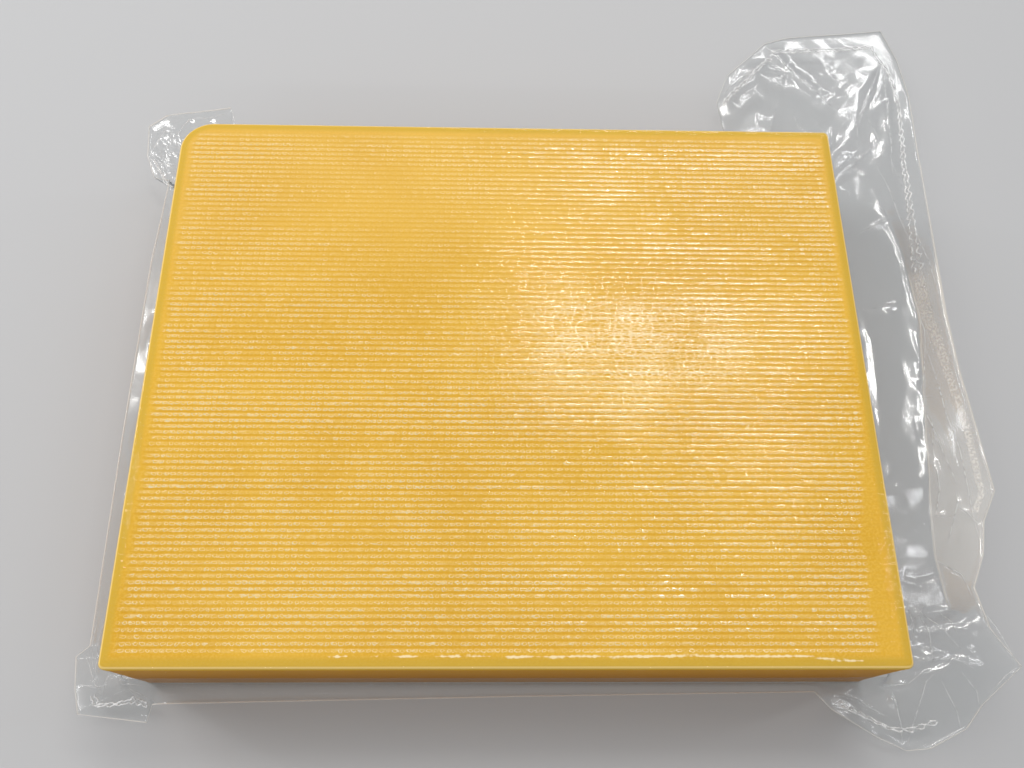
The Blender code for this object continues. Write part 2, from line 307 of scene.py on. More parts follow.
def band_faces(upper, lower):
    """Faces between two closed rings of the same count, facing out when the rings run anticlockwise."""
    corners = (upper, lower, np.roll(lower, -1), np.roll(upper, -1))
    return np.stack(corners, axis=-1).tolist()


def stack_faces(rings):
    """Faces between each of many closed rings and the next, facing out when the rings go down."""
    return [face for upper, lower in zip(rings, rings[1:]) for face in band_faces(upper, lower)]


def piece(name, points, faces, looks, values=None):
    """A smooth-shaded object on the one body, with a number stored at each point under each name."""
    mesh = bpy.data.meshes.new(name)
    mesh.from_pydata(points.tolist(), [], faces)
    mesh.shade_smooth()
    for key, value in (values or {}).items():
        mesh.attributes.new(key, "FLOAT", "POINT").data.foreach_set("value", value.astype(np.float32))
    for look in looks:
        mesh.materials.append(look)
    made = bpy.data.objects.new(name, mesh)
    bpy.context.scene.collection.objects.link(made)
    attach(made, "root")
    return made


def cheese_mesh():
    """Points and faces of the block: marked top, slightly uneven sides, rounded foot, marked underside."""
    x, y = lattice(ROW_PITCH / 2, ROW_PITCH / 3, 0.0, TOP_EDGE_RADIUS)
    z = top_height(x, y) - edge_drop(inside(x, y), TOP_EDGE_RADIUS)
    lines, columns = x.shape
    place = numbered(x)
    blocks = [np.stack([x, y, z], axis=-1).reshape(-1, 3)]
    faces = grid_faces(place)
    ring = rim_of(place)
    border = blocks[0][ring]
    for level in (*SIDE_LEVELS, FOOT_RADIUS, 0.45 * FOOT_RADIUS, 0.0):
        lowered = border.copy()
        dent = slow_waves(border[:, 0] + level, border[:, 1], 21, (0.12, 0.07, 0.045), DENT_DEPTH)
        dent = DENT_DEPTH + dent
        inset = dent if level > FOOT_RADIUS else FOOT_RADIUS * (1 - level / FOOT_RADIUS) ** 2
        lowered[:, :2] *= 1 - (inset / np.hypot(*border[:, :2].T))[:, None]
        lowered[:, 2] = level + CHEESE_UNDER
        below = sum(map(len, blocks)) + np.arange(len(ring))
        blocks.append(lowered)
        faces += band_faces(ring, below)
        ring = below

    sole = blocks[-1]
    right_numbers = ring[columns : columns + lines - 2]
    left_numbers = ring[2 * columns + lines - 2 :][::-1]
    left = sole[2 * columns + lines - 2 :][::-1]
    right = sole[columns : columns + lines - 2]
    share = np.array([0.03, 0.06, 0.2, 0.35, 0.5, 0.65, 0.8, 0.94, 0.97])
    across = left[:, None, :2] + (right - left)[:, None, :2] * share[:, None]
    lift = CHEESE_UNDER + CHEESE_TOP - top_height(across[..., 0], across[..., 1])
    under = np.concatenate([across, np.clip(lift, CHEESE_UNDER, DEEPEST_UNDER)[..., None]], axis=-1)
    numbers = numbered(under[..., 0], sum(map(len, blocks)))
    blocks.append(under.reshape(-1, 3))
    whole = np.column_stack([left_numbers, numbers, right_numbers])
    faces += grid_faces(whole[:, ::-1])
    front_numbers, back_numbers = ring[:columns], ring[columns + lines - 2 : 2 * columns + lines - 2][::-1]
    faces.append(front_numbers[::-1].tolist() + whole[0].tolist())
    faces.append(back_numbers.tolist() + whole[-1][::-1].tolist())
    return np.concatenate(blocks), faces


def put(tree, socket, value):
    """Links a node's output to a socket, or sets the socket to a plain value."""
    if isinstance(value, bpy.types.NodeSocket):
        tree.links.new(value, socket)
    else:
        socket.default_value = value


def step(tree, kind, values=(), output=0, **settings):
    """Adds a node, sets its settings and then its inputs in order or by name, and returns one output."""
    node = tree.nodes.new("ShaderNode" + kind)
    for key, value in settings.items():
        setattr(node, key, value)
    for key, value in values.items() if isinstance(values, dict) else enumerate(values):
        put(tree, node.inputs[key], value)
    return node.outputs[output]


def sums(tree, operation, *values):
    """One step of arithmetic between sockets and numbers."""
    return step(tree, "Math", values, operation=operation)


def times(tree, first, *others):
    """The product of all the values."""
    for other in others:
        first = sums(tree, "MULTIPLY", first, other)
    return first


def largest(tree, first, *others):
    """The largest of all the values."""
    for other in others:
        first = sums(tree, "MAXIMUM", first, other)
    return first


def apart(tree, first, second):
    """How far apart two values are: the difference without its sign."""
    return sums(tree, "ABSOLUTE", sums(tree, "SUBTRACT", first, second))


def rise(tree, value, low, high, bottom=0.0, top=1.0):
    """A smooth rise from bottom to top while the value goes from low to high."""
    values = {"Value": value, "From Min": low, "From Max": high, "To Min": bottom, "To Max": top}
    return step(tree, "MapRange", values, interpolation_type="SMOOTHSTEP")


def stretched(tree, place, scales):
    """A place with x, y and z multiplied by one scale each."""
    return step(tree, "VectorMath", (place, scales), operation="MULTIPLY")


def grain(tree, place, scale, detail=1.0):
    """Soft random patches, with about scale of them in a metre, or with one scale each for x, y and z."""
    if isinstance(scale, tuple):
        place, scale = stretched(tree, place, scale), 1.0
    return step(tree, "TexNoise", {"Vector": place, "Scale": scale, "Detail": detail})


def blended(tree, factor, first, second):
    """A colour between two colours."""
    node = tree.nodes.new("ShaderNodeMix")
    node.data_type = "RGBA"
    for socket, value in ((node.inputs[0], factor), (node.inputs[6], first), (node.inputs[7], second)):
        put(tree, socket, value)
    return node.outputs[2]


def along_axis(tree, place, axis):
    """One coordinate of a place: x for axis 0, y for axis 1 and z for axis 2."""
    return step(tree, "SeparateXYZ", (place,), output=axis)


def stored(tree, name):
    """The number that the mesh's points store under a name."""
    return step(tree, "Attribute", output=2, attribute_name=name)


def relief_of(tree, height, strength, distance):
    """The surface's direction when a height from 0 to 1 is pressed into it."""
    return step(tree, "Bump", {"Strength": strength, "Distance": distance, "Height": height})


def new_look(name):
    """A new material, its node tree, its first shader and the place on the object."""
    made = bpy.data.materials.new(name)
    made.use_nodes = True
    tree = made.node_tree
    return made, tree, tree.nodes["Principled BSDF"], step(tree, "TexCoord", output="Object")


def row_count(tree, place):
    """How many rows a place lies behind the first groove."""
    from_groove = sums(tree, "SUBTRACT", along_axis(tree, place, 1), FIRST_GROOVE)
    return sums(tree, "DIVIDE", from_groove, ROW_PITCH)


def net_marks_and_glints(tree, place):
    """The net's print as values from 0 to 1: light marks on the rows, and grooves between the rows, which
    the cheese darkens as painted shade.

    The marks are broken bead rings on a paler band, partly the film's contact rings over the beads and
    partly painted glints, brighter on their painted lit side; short strokes along the rows and small bright
    specks, which are painted glints; and a painted reflection of the slim lamp as a net of fine lines right
    of the middle.
    """
    rows = row_count(tree, place)
    along = sums(tree, "ADD", sums(tree, "DIVIDE", along_axis(tree, place, 0), ROW_PITCH), 0.5)
    cell_x = sums(tree, "SUBTRACT", sums(tree, "FRACT", along), 0.5)
    cell_y = sums(tree, "SUBTRACT", sums(tree, "FRACT", rows), 0.5)
    groove = rise(tree, apart(tree, cell_y, 0.0), *GROOVE_WALL)
    on_row = sums(tree, "SUBTRACT", 1.0, groove)

    shake_x = times(tree, sums(tree, "SUBTRACT", grain(tree, place, 480.0), 0.5), 0.9)
    shake_y = times(tree, sums(tree, "SUBTRACT", grain(tree, place, 620.0, 2.0), 0.5), 0.55)
    ring_x = sums(tree, "DIVIDE", sums(tree, "ADD", cell_x, shake_x), BEAD_HALF_LENGTH)
    ring_y = sums(tree, "DIVIDE", sums(tree, "ADD", cell_y, shake_y), BEAD_HALF_WIDTH)
    reach = sums(tree, "SQRT", sums(tree, "ADD", times(tree, ring_x, ring_x), times(tree, ring_y, ring_y)))
    ring = rise(tree, apart(tree, reach, 0.80), 0.06, 0.28, 1.0, 0.0)
    # Painted highlight: each ring is brighter on its near left side, as if lit from there.
    lit_side = rise(tree, sums(tree, "ADD", cell_y, times(tree, cell_x, 0.3)), -0.3, 0.3, 1.0, 0.5)
    cell = step(tree, "CombineXYZ", [sums(tree, "FLOOR", value) for value in (along, rows)])
    chance = step(tree, "TexWhiteNoise", {"Vector": cell}, noise_dimensions="2D")
    patch = grain(tree, place, 30.0, 2.0)
    shown = rise(tree, sums(tree, "ADD", times(tree, chance, 0.5), patch), 0.42, 0.86, 0.3, 1.0)
    ring = times(tree, ring, lit_side, shown)

    # Painted glints: short strokes along the rows and small bright specks.
    stroke = rise(tree, grain(tree, place, (230.0, 640.0, 100.0)), 0.54, 0.70, 0.0, 0.35)
    speck = rise(tree, grain(tree, place, (330.0, 760.0, 200.0)), 0.62, 0.74, 0.0, 0.8)
    streaks = times(tree, largest(tree, stroke, speck), on_row)

    # Painted reflection of the slim lamp: a net of fine bright lines right of the middle, squeezed in x.
    squeezed = stretched(tree, place, (LAMP_GLINT_SQUEEZE, 1.0, 1.0))
    away = step(tree, "VectorMath", (squeezed, LAMP_GLINT_PLACE), 1, operation="DISTANCE")
    cells = {"Vector": stretched(tree, place, (260.0, 760.0, 1.0)), "Scale": 1.0}
    lines = step(tree, "TexVoronoi", cells, feature="DISTANCE_TO_EDGE", voronoi_dimensions="2D")
    lamp_glint_net = rise(tree, away, 0.0, LAMP_GLINT_REACH, 1.0, 0.0)
    lamp_glint_net = times(tree, lamp_glint_net, rise(tree, patch, 0.3, 0.6, 0.5, 1.0))
    lines = times(tree, rise(tree, lines, 0.03, 0.17, 0.8, 0.0), lamp_glint_net)
    return largest(tree, ring, streaks, times(tree, on_row, ROW_PALENESS), lines), groove


def cheese_look():
    """Golden paste made paler towards the back by a painted sheen, amber grooves darkened as painted shade,
    cream marks that are partly the film's contact rings over the beads and partly painted glints, olive
    margins with a painted highlight along the rounded edge and on the lip, the same on the underside, and
    sides that go from orange at the top to a brown of painted shade at the foot."""
    made, tree, shader, place = new_look("cheese")
    marks, groove = net_marks_and_glints(tree, place)
    printed, from_side, on_lip = (stored(tree, name) for name in ("imprint", "from_side", "lip"))
    height = along_axis(tree, place, 2)
    fleck = grain(tree, place, 900.0)
    marked = times(tree, marks, printed)
    # Painted highlight: a ragged cream line on the lip, the thin real ridge in front of the first row.
    lip_highlight_mask = sums(tree, "MULTIPLY_ADD", grain(tree, place, 450.0), 0.8, on_lip)
    top = DARK_PASTE
    for factor, colour in (
        (rise(tree, grain(tree, place, 14.0, 3.0), 0.3, 0.7), LIGHT_PASTE),
        (rise(tree, fleck, 0.35, 0.75, 0.0, 0.35), PALE_FLECK),
        # Painted sheen: the top is made paler towards the back, standing in for the film's gloss there.
        (rise(tree, along_axis(tree, place, 1), -0.02, 0.14, 0.0, 0.4), PAINTED_BACK_SHEEN),
        (rise(tree, from_side, 3.0, 6.2, 0.8, 0.0), OLIVE_MARGIN),
        # Painted shade: amber darkening in the grooves between the rows, where shade falls.
        (times(tree, groove, printed, 0.5), SHADED_AMBER_GROOVE),
        # Cream marks: partly the film's contact rings over the beads, partly painted glints.
        (marked, CREAM_MARK_AND_GLINT),
        (rise(tree, lip_highlight_mask, 0.90, 1.25, 0.0, 0.75), LIP_HIGHLIGHT),
        # Painted highlight: a light line along the top's rounded edge.
        (rise(tree, apart(tree, from_side, 0.7), 0.2, 0.7, 0.8, 0.0), EDGE_HIGHLIGHT),
    ):
        top = blended(tree, factor, top, colour)
    # Painted shade: the sides darken to brown towards the foot.
    side = blended(tree, rise(tree, height, *OCHRE_RISE), SHADED_BROWN_FOOT, OCHRE_SIDE)
    streak = rise(tree, grain(tree, place, (12.0, 12.0, 420.0), 2.0), 0.3, 0.7, 0.0, 0.3)
    side = blended(tree, streak, side, SIDE_STREAK)
    side = blended(tree, rise(tree, height, *ORANGE_RISE), side, ORANGE_BAND)
    on_top, on_sole = rise(tree, height, *TOP_RISE), rise(tree, height, *SOLE_END, 1.0, 0.0)
    colour = blended(tree, sums(tree, "ADD", on_top, on_sole), side, top)
    put(tree, shader.inputs["Base Color"], colour)
    put(tree, shader.inputs["Roughness"], rise(tree, marked, 0.0, 0.7, 0.5, 0.26))
    put(tree, shader.inputs["Specular IOR Level"], rise(tree, marked, 0.15, 0.85, 0.01, 1.0))
    shader.inputs["IOR"].default_value = 2.25
    put(tree, shader.inputs["Normal"], relief_of(tree, fleck, 0.5, 0.00012))
    return made


cheese_points, cheese_faces = cheese_mesh()
cheese_x, cheese_y, cheese_z = cheese_points.T
cheese_values = {
    "imprint": imprint(cheese_x, cheese_y) * ((cheese_z > CHEESE_TOP - 0.004) | (cheese_z < 0.001)),
    "from_side": inside(cheese_x, cheese_y) / MM,
    "lip": lip(cheese_x, cheese_y),
}
cheese = piece("cheese", cheese_points, cheese_faces, [cheese_look()], cheese_values)
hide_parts("cheese_block")


# Vacuum film
# One closed bag of thin clear film, drawn tight over the block. Its upper and lower sheets leave the
# block's sides like a tent, lie on each other and run out to the cut edges, creased and crumpled.
FILM_GAP = 0.0003
FILM_TOP = 0.06496
FILM_UNDER = 0.00003
FILM_EDGE_RADIUS = 0.0021
FILM_ROW_DIP = 0.00012
FILM_SAG = 0.00006
CLING_START = 0.0622
CLING_THICKNESS = 0.0007
LEAST_SLACK = 0.00001
TENT_TOP = 0.036
TENT_REACH = 0.0055
CLING_FOOT = 0.004
FLOOR_CLEARANCE = 0.0003
SHEET_GAP = 0.0002
SHEET_PARTING = 0.00035
POCKET_PARTING = 0.0012
LEAST_MIDDLE = 0.0016
CLING_END = TENT_TOP + 0.004
CLING_RINGS = 5
UPPER_RINGS = 46
LOWER_RINGS = 26
EAR_STEP = 0.0016
MOUTH_STEP = 0.0022
FIN_STEP = 0.005

# Rings of film round the block's foot: how far each is drawn in, and its height
FOOT_RINGS = ((0.0001, FOOT_RADIUS), (0.0006, 0.0006), (0.0018, FILM_UNDER), (0.02, FILM_UNDER))

# What each point of the film stores, in millimetres, and what the clinging film stores instead
FILM_MEASURES = ("from_edge", "off_block", "from_fold", "from_seal")
NO_MEASURES = np.array([[20.0], [0.0], [-20.0], [20.0]])

# Middle of the mouth flange in y, how far from it its haze and the painted highlight on its fold fade out,
# and plain film's haze
FLANGE_MIDDLE = -0.012
FLANGE_ENDS = (0.090, 0.104)
PLAIN_HAZE = 0.012

# Heights between which the clinging film's gloss grows to that of the top
GLOSS_RISE = (0.0600, 0.0635)

WHITE = (1, 1, 1, 1)
CLINGING_TINT = (0.985, 0.985, 0.98, 1)
LOOSE_TINT = (0.97, 0.975, 0.975, 1)
EDGE_ON_TINT = (0.66, 0.68, 0.69, 1)
PASSED_LIGHT = (0.95, 0.955, 0.955, 1)
HAZE_AND_HIGHLIGHT_COLOUR = (0.86, 0.82, 0.76, 1)

# Film edge round each corner of the block, in millimetres from that corner: how far along the block's
# sides the film leaves them, counted anticlockwise, then its edge's x and y, and its height above ground.
FRONT_LEFT_EAR = (
    (-16, -23, 16, 18), (-12, -30, 11, 16), (-6, -30, -4, 10), (-1, -29, -15, 5), (4, 5, -19, 5),
    (8, 8, -11, 9),
)
FRONT_RIGHT_EAR = (
    (-30, -30, -6, 14), (-21, -21, -14, 10), (-9, 2, -27, 6), (-5, 15, -33, 6), (-2, 27, -32, 6),
    (1, 46, -23, 8), (4, 55, -12, 10), (10, 76, 6, 14), (22, 62, 24, 18), (40, 59, 45, 16),
    (58, 67, 62, 16),
)
BACK_RIGHT_EAR = (
    (-24, 74, 15, 20), (-10, 79, 67, 14), (-4, 78, 101, 10), (1, 72, 127, 8), (9, 7, 120, 8),
    (14, -9, 113, 10), (24, -38, 82, 14), (34, -46, 62, 12), (38, -42, 22, 14),
)
BACK_LEFT_EAR = (
    (-28, 20, 22, 14), (-20, 12, 39, 14), (-15, 8, 51, 14), (-2, -29, 41, 18), (5, -38, 31, 20),
    (14, -36, 10, 20), (19, -31, -4, 17), (24, -22, -5, 16),
)

# Film edge beside each straight side, in millimetres: along the side from its first corner, width, height
LEFT_FIN = ((60, 25, 16), (170, 25, 16))
FRONT_FIN = ((12, 11, 14), (180, 8, 14))
MOUTH = ((80, 72, 14), (96, 80, 16), (130, 75, 20), (165, 71, 22), (200, 69, 24), (232, 70, 24))
BACK_FIN = ((70, 22, 14), (200, 22, 14))

# Fold in the mouth flange, in millimetres: along the right side, distance from the block, height
MOUTH_FOLD = ((34, 48, 6), (61, 46, 5), (85, 48, 5), (155, 56, 4), (205, 62, 4), (240, 60, 4), (275, 53, 4))
PLAIN_FOLD_SHARE = 0.5
PLAIN_FOLD_HEIGHT = 0.012
FOLD_FADE = 0.012
OFF_FLANGE = 0.04

# Seals in millimetres: the x and y of each edge point that they pass, and their distance inside it. Each
# named seal shows white threads: first their spread and number.
MOUTH_WELD = (
    (176, 262, 10), (187, 266, 12), (215, 269, 14), (240, 272, 16), (254, 266, 17),
    (258, 247, 13), (259, 213, 10.5), (254, 161, 9), (251, 118, 7.5), (249, 87, 6),
    (249, 58, 4.5), (252, 18, 4), (256, -15, 4), (260, -50, 6), (254, -62, 6),
)
SEALS = {
    "mouth_seal": (2.0, 2, *MOUTH_WELD[:10]),
    "folded_seal": (2.0, 2, (175, 262, 15), (158, 247, 16), (143, 229, 14), (136, 214, 8)),
    "front_left_seal": (2.0, 2, (-212, -156, 9), (-200, -163, 9), (-188, -164, 10), (-175, -164, 8)),
    "back_left_seal": (1.8, 2, (-218, 156, 5), (-214, 148, 8), (-208, 143, 8)),
    "front_right_seal": (
        1.6, 2, (165, -160, 5), (182, -173, 10), (196, -178, 12), (210, -177, 12), (222, -172, 11),
    ),
}
SEAL_STEP = 0.0006

# Creases in millimetres: lift (negative is a valley), slope to the left and to the right of its line, the
# share of its length where it is highest, and x and y of one corner after the other.
BACK_RIGHT_CREASES = (
    (4.2, 0.5, 1.2, 0.15, 170, 258, 177, 249, 216, 202),
    (3.6, 0.9, 0.5, 0.45, 180, 250, 172, 245, 149, 223, 136, 211),
    (1.6, 0.8, 0.4, 0.5, 167, 234, 174, 235, 181, 230, 191, 223),
    (-3.0, 0.4, 0.8, 0.6, 138, 198, 158, 221, 167, 234),
    (3.4, 1.0, 0.5, 0.4, 247, 244, 235, 217, 223, 190, 222, 178),
    (1.8, 0.7, 0.7, 0.5, 230, 200, 235, 186, 238, 168),
    (2.8, 0.5, 1.0, 0.4, 249, 246, 244, 212, 243, 178, 240, 150),
    (1.5, 0.8, 0.5, 0.5, 198, 199, 204, 186, 206, 170),
    (1.6, 0.6, 0.8, 0.5, 216, 166, 222, 173),
    (2.0, 0.5, 0.9, 0.4, 211, 159, 229, 175, 240, 188),
    (-2.2, 0.6, 0.6, 0.4, 186, 160, 205, 178, 214, 196),
    (2.4, 0.9, 0.4, 0.3, 182, 150, 190, 178, 184, 206),
    (1.8, 0.5, 0.9, 0.4, 170, 158, 166, 186, 176, 214),
    (-1.8, 0.8, 0.5, 0.5, 196, 244, 206, 226, 226, 214),
    (1.6, 0.9, 0.5, 0.5, 205, 252, 214, 232, 230, 226),
)
MOUTH_CREASES = (
    (2.2, 0.5, 1.2, 0.15, 237, 127, 226, 122, 214, 116),
    (1.6, 1.0, 0.6, 0.3, 236, 127, 233, 134, 224, 140),
    (1.8, 0.4, 0.9, 0.1, 233, 69, 222, 66, 210, 63),
    (1.5, 0.9, 0.5, 0.4, 233, 168, 236, 152, 240, 127, 243, 110, 245, 92, 246, 78),
    (1.6, 0.6, 1.0, 0.5, 241, 172, 243, 150, 245, 129, 246, 112, 248, 90, 249, 60, 249, 24),
    (2.0, 1.0, 0.5, 0.4, 243, 66, 243, 49, 241, 29),
    (2.4, 1.1, 0.6, 0.7, 242, 40, 239, 22, 235, 9),
    (1.6, 0.9, 0.9, 0.2, 235, 9, 241, 8),
    (2.0, 0.5, 1.1, 0.3, 235, 9, 237, -9, 240, -27, 244, -47),
    (1.8, 0.8, 0.6, 0.4, 242, 37, 243, 17, 244, -6, 247, -26, 248, -46, 248, -77),
    (2.8, 1.2, 0.6, 0.6, 238, -4, 235, -30, 235, -47, 231, -61),
    (2.0, 0.9, 0.9, 0.15, 231, -61, 238, -62),
    (2.6, 0.9, 1.2, 0.2, 243, -49, 241, -57, 234, -76),
    (1.8, 1.2, 0.9, 0.3, 242, -57, 246, -62, 250, -68),
    (-1.5, 0.4, 0.4, 0.5, 238, 140, 243, 100, 246, 60, 246, 10, 250, -30),
    (1.1, 0.9, 0.4, 0.5, 250, 92, 252, 48, 255, 4, 258, -30),
    (1.0, 0.5, 0.9, 0.4, 247, 200, 249, 160, 250, 120),
    (1.2, 0.2, 0.5, 0.5, 205, 100, 212, 40, 208, -30),
)
FRONT_RIGHT_CREASES = (
    (3.4, 0.8, 1.2, 0.3, 241, -114, 248, -126, 255, -140),
    (2.2, 1.0, 0.7, 0.4, 255, -140, 248, -144, 240, -152),
    (1.8, 0.9, 0.9, 0.4, 249, -132, 254, -138),
    (-2.0, 0.8, 0.8, 0.5, 232, -100, 232, -119, 236, -132, 240, -152),
    (3.0, 1.2, 0.7, 0.2, 191, -151, 194, -166, 194, -178),
    (2.2, 0.7, 1.1, 0.3, 213, -143, 208, -147, 201, -165, 196, -177),
    (2.4, 0.6, 1.2, 0.5, 203, -137, 223, -136, 233, -141),
    (1.8, 0.9, 0.9, 0.5, 209, -104, 213, -113, 223, -126, 229, -133),
    (2.2, 0.8, 0.5, 0.4, 208, -106, 206, -118, 204, -130),
    (2.0, 0.5, 0.9, 0.4, 211, -109, 213, -126, 212, -143),
    (2.6, 1.2, 1.2, 0.5, 223, -112, 226, -124),
    (-2.2, 0.7, 0.7, 0.5, 184, -142, 205, -142, 226, -134, 244, -118),
    (2.0, 0.6, 1.1, 0.4, 183, -149, 199, -148, 206, -143),
    (1.8, 0.9, 0.6, 0.6, 216, -146, 222, -160, 224, -172),
    (1.6, 0.6, 0.9, 0.5, 226, -142, 233, -152, 234, -162),
    (2.2, 0.8, 0.8, 0.4, 183, -110, 198, -100, 212, -84),
    (1.8, 0.9, 0.6, 0.4, 184, -128, 202, -122, 222, -104),
    (-1.6, 0.7, 0.9, 0.6, 196, -90, 214, -98, 232, -92),
    (1.6, 0.8, 0.8, 0.5, 226, -84, 236, -94, 238, -106),
    (1.5, 0.7, 0.9, 0.5, 160, -152, 172, -155, 190, -164),
)
FRONT_LEFT_CREASES = (
    (1.6, 0.8, 0.8, 0.6, -202, -118, -203, -140),
    (1.6, 0.7, 0.9, 0.5, -199, -116, -201, -140, -198, -154),
    (1.8, 0.9, 0.6, 0.4, -206, -134, -203, -141, -198, -154),
    (1.5, 0.8, 0.8, 0.5, -193, -140, -199, -154),
    (1.3, 0.8, 0.8, 0.5, -210, -147, -201, -149, -192, -148),
    (1.6, 0.9, 0.7, 0.5, -183, -149, -178, -157),
    (1.4, 0.6, 1.0, 0.4, -182, -150, -170, -156),
    (1.6, 0.5, 1.1, 0.4, -190, -144, -186, -148, -174, -149),
)
BACK_LEFT_CREASES = (
    (3.2, 0.8, 1.3, 0.1, -194, 187, -204, 172, -207, 164),
    (2.6, 1.2, 0.5, 0.2, -196, 186, -186, 187, -177, 191, -170, 194),
    (2.6, 0.7, 0.7, 0.3, -208, 178, -212, 168, -215, 158),
    (1.8, 0.8, 0.8, 0.5, -213, 176, -205, 174, -209, 166),
    (2.0, 0.8, 0.8, 0.4, -208, 164, -206, 156),
    (1.8, 0.7, 0.9, 0.4, -216, 158, -209, 152, -200, 153),
    (1.8, 0.8, 0.6, 0.5, -208, 152, -206, 145),
    (1.8, 0.9, 0.9, 0.4, -171, 192, -169, 182),
    (1.6, 0.6, 0.9, 0.4, -187, 186, -179, 183),
    (-1.8, 0.7, 0.7, 0.5, -204, 184, -200, 170, -192, 158),
    (1.6, 0.8, 0.8, 0.4, -190, 156, -198, 162, -206, 162),
)
CREASES = BACK_RIGHT_CREASES + MOUTH_CREASES + FRONT_RIGHT_CREASES + FRONT_LEFT_CREASES + BACK_LEFT_CREASES

OUTLINE = 2 * (BLOCK_WIDTH + BLOCK_DEPTH)
CORNERS = (
    (0.0, -1, -1),
    (BLOCK_WIDTH, 1, -1),
    (BLOCK_WIDTH + BLOCK_DEPTH, 1, 1),
    (2 * BLOCK_WIDTH + BLOCK_DEPTH, -1, 1),
)
SIDE_RUNS = ((1, 0), (0, 1), (-1, 0), (0, -1))
SIDE_OUTWARD = ((0, -1), (1, 0), (0, 1), (-1, 0))


def along_outline(points):
    """How far round the block's outline each point lies, anticlockwise from the front left corner.

    On a side it is the distance along that side. On a corner's arc, the angle stands for the distance.
    """
    x, y = points[:, 0], points[:, 1]
    on_front_or_back = np.abs(y) / half_depth > np.abs(x) / half_width
    front_or_back = np.where(y < 0, x + half_width, BLOCK_WIDTH + BLOCK_DEPTH + half_width - x)
    side = np.where(x > 0, BLOCK_WIDTH + y + half_depth, 2 * BLOCK_WIDTH + BLOCK_DEPTH + half_depth - y)
    along = np.where(on_front_or_back, front_or_back, side)
    for start, sign_x, sign_y in CORNERS:
        radius = float(corner_radius(sign_x, sign_y))
        past_x = sign_x * x - (half_width - radius)
        past_y = sign_y * y - (half_depth - radius)
        on_arc = (past_x > 0) & (past_y > 0)
        turn = np.arctan2(sign_y * past_y, sign_x * past_x) - np.arctan2(sign_y, sign_x)
        turn = (turn + np.pi) % (2 * np.pi) - np.pi
        along = np.where(on_arc, start + turn * radius / (np.pi / 4), along)
    return along % OUTLINE


def beside_block(along):
    """The point just off the block's outline at each distance along it: on a side, or on a corner's arc."""
    starts = np.array([start for start, *_ in CORNERS])
    corners = np.array([[right * half_width, back * half_depth] for _, right, back in CORNERS])
    along = along % OUTLINE
    side = np.searchsorted(starts, along, side="right") - 1
    share = (along - starts[side]) / np.array([BLOCK_WIDTH, BLOCK_DEPTH, BLOCK_WIDTH, BLOCK_DEPTH])[side]
    points = corners[side] + (corners[(side + 1) % 4] - corners[side]) * share[..., None]
    points = points + np.array(SIDE_OUTWARD)[side] * FILM_GAP
    for corner, start in zip(corners, starts):
        radius = float(corner_radius(*corner))
        past = (along - start + OUTLINE / 2) % OUTLINE - OUTLINE / 2
        turn = np.arctan2(*np.sign(corner[::-1])) + np.pi / 4 * past / radius
        arc = np.stack([np.cos(turn), np.sin(turn)], axis=-1) * (radius + FILM_GAP)
        on_arc = (np.abs(past) < radius)[..., None]
        points = np.where(on_arc, corner - np.sign(corner) * radius + arc, points)
    return points


def pouch_keys():
    """Key points of the film's edge in order: along the outline, x, y, height, and 1 on an ear, else 0."""
    made = []
    ears = (FRONT_LEFT_EAR, FRONT_RIGHT_EAR, BACK_RIGHT_EAR, BACK_LEFT_EAR)
    fins = (FRONT_FIN, MOUTH, BACK_FIN, LEFT_FIN)
    for ear, fin, (start, right, back), run, out in zip(ears, fins, CORNERS, SIDE_RUNS, SIDE_OUTWARD):
        corner_x, corner_y = right * half_width, back * half_depth
        for along, x, y, height in ear:
            made.append((start + along * MM, corner_x + x * MM, corner_y + y * MM, height * MM, 1))
        for along, width, height in fin:
            x = corner_x + (run[0] * along + out[0] * width) * MM
            y = corner_y + (run[1] * along + out[1] * width) * MM
            made.append((start + along * MM, x, y, height * MM, 0))
    made = np.array(sorted(made))
    return np.vstack([made, made[:1] + [OUTLINE, 0, 0, 0, 0]])


keys = pouch_keys()
key_reach = np.maximum(np.diff(keys[:, 0]), np.hypot(*np.diff(keys[:, 1:3], axis=0).T))
walk_at_key = np.concatenate([[0], np.cumsum(key_reach)])


def pouch_edge(walk):
    """The film's edge at a distance walked along it: along the outline, x, y and height."""
    return np.array([np.interp(walk, walk_at_key, column) for column in keys.T[:4]])


def pouch_walk():
    """The distances along the film's edge where its cross-sections stand: close on ears, wider on fins."""
    stations = []
    for k, stretch in enumerate(key_reach):
        on_mouth = BLOCK_WIDTH < keys[k, 0] < BLOCK_WIDTH + BLOCK_DEPTH
        spacing = EAR_STEP if keys[k, 4] and keys[k + 1, 4] else MOUTH_STEP if on_mouth else FIN_STEP
        count = int(np.ceil(stretch / spacing))
        stations.append(walk_at_key[k] + stretch * np.arange(count) / count)
    return np.concatenate(stations)


def crease_line(corners):
    """A crease's corners in metres, and how far along the crease each of them lies."""
    corners = np.reshape(corners, (-1, 2)) * MM
    return corners, np.concatenate([[0], np.cumsum(np.hypot(*np.diff(corners, axis=0).T))])


def roofs(x, y, creases):
    """Creases as long roofs: highest at their peak, nothing at their ends, sloping down on each side."""
    total = np.zeros(np.broadcast(x, y).shape)
    for lift, left_slope, right_slope, peak, *corners in creases:
        corners, begun = crease_line(corners)
        roof = np.zeros(total.shape)
        for corner, run, before in zip(corners, np.diff(corners, axis=0), begun):
            length = np.hypot(*run)
            past_x, past_y = x - corner[0], y - corner[1]
            part = np.clip((past_x * run[0] + past_y * run[1]) / length**2, 0, 1)
            share = (before + part * length) / begun[-1]
            off = np.hypot(past_x - part * run[0], past_y - part * run[1])
            slope = np.where(run[0] * past_y > run[1] * past_x, left_slope, right_slope)
            ridge = abs(lift) * MM * np.minimum(share / peak, (1 - share) / (1 - peak))
            roof = np.maximum(roof, ridge - slope * off)
        total += np.sign(lift) * roof
    return total


